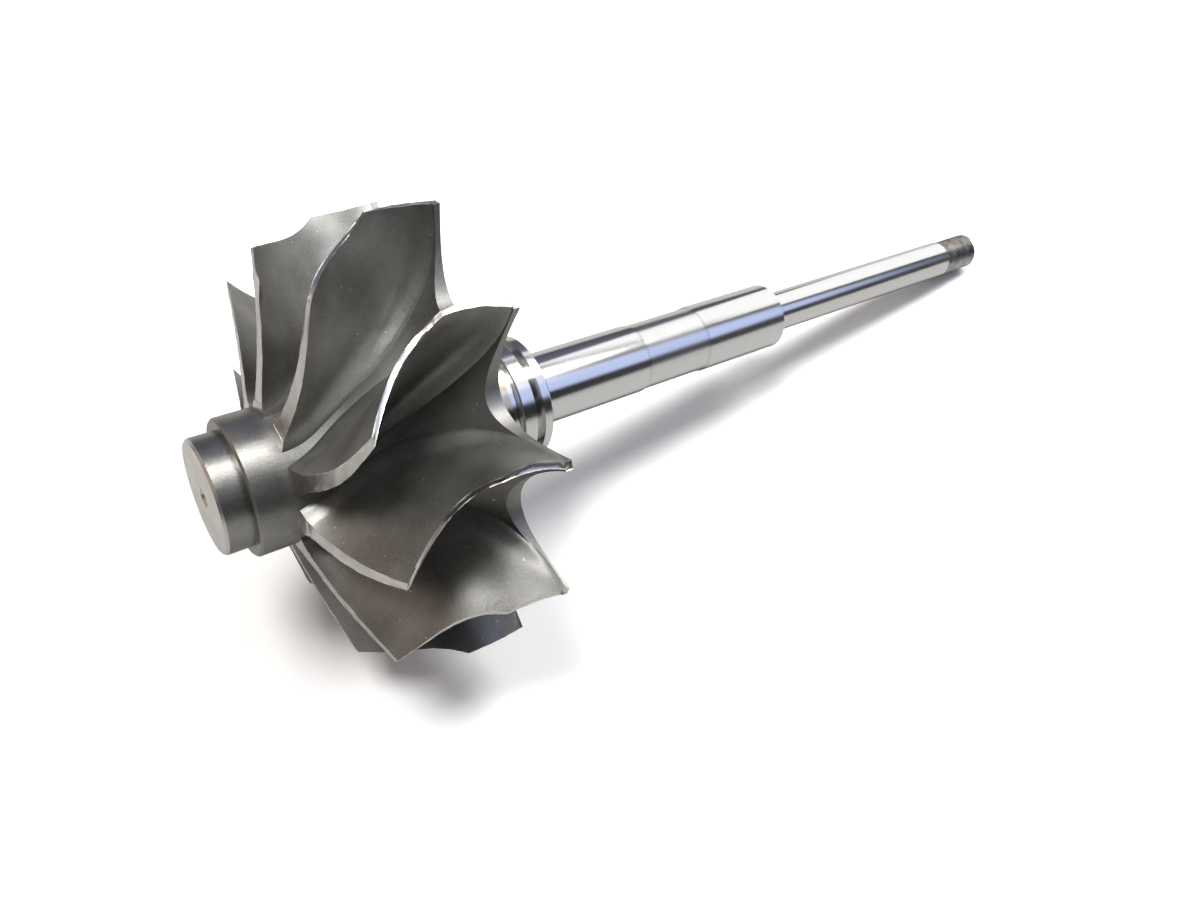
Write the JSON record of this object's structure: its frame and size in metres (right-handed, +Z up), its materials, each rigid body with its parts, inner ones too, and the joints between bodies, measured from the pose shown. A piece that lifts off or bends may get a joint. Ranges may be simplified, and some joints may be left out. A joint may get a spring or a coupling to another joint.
{
  "type": "turbine wheel",
  "caption": "Radial turbine wheel with curved blades, cast in one with its hub and welded to a stepped steel shaft that is threaded at its far end.",
  "frame": {"origin": "middle of the part's box, on the surface that it lies on", "axes": "+Z up; the axis of rotation lies in the XZ plane, with the nose of the wheel towards -X and the shaft running down to its threaded end towards +X"},
  "size_m": [0.161, 0.068, 0.0664],
  "materials": {
    "cast_alloy": "fine-grained satin skin of a heat-resistant nickel casting, with turned bright edges",
    "ground_steel": "bright turned and ground steel"
  },
  "bodies": {
    "root": {"turbine_wheel": "cast_alloy", "rotor_shaft": "ground_steel"}
  },
  "joints": []
}
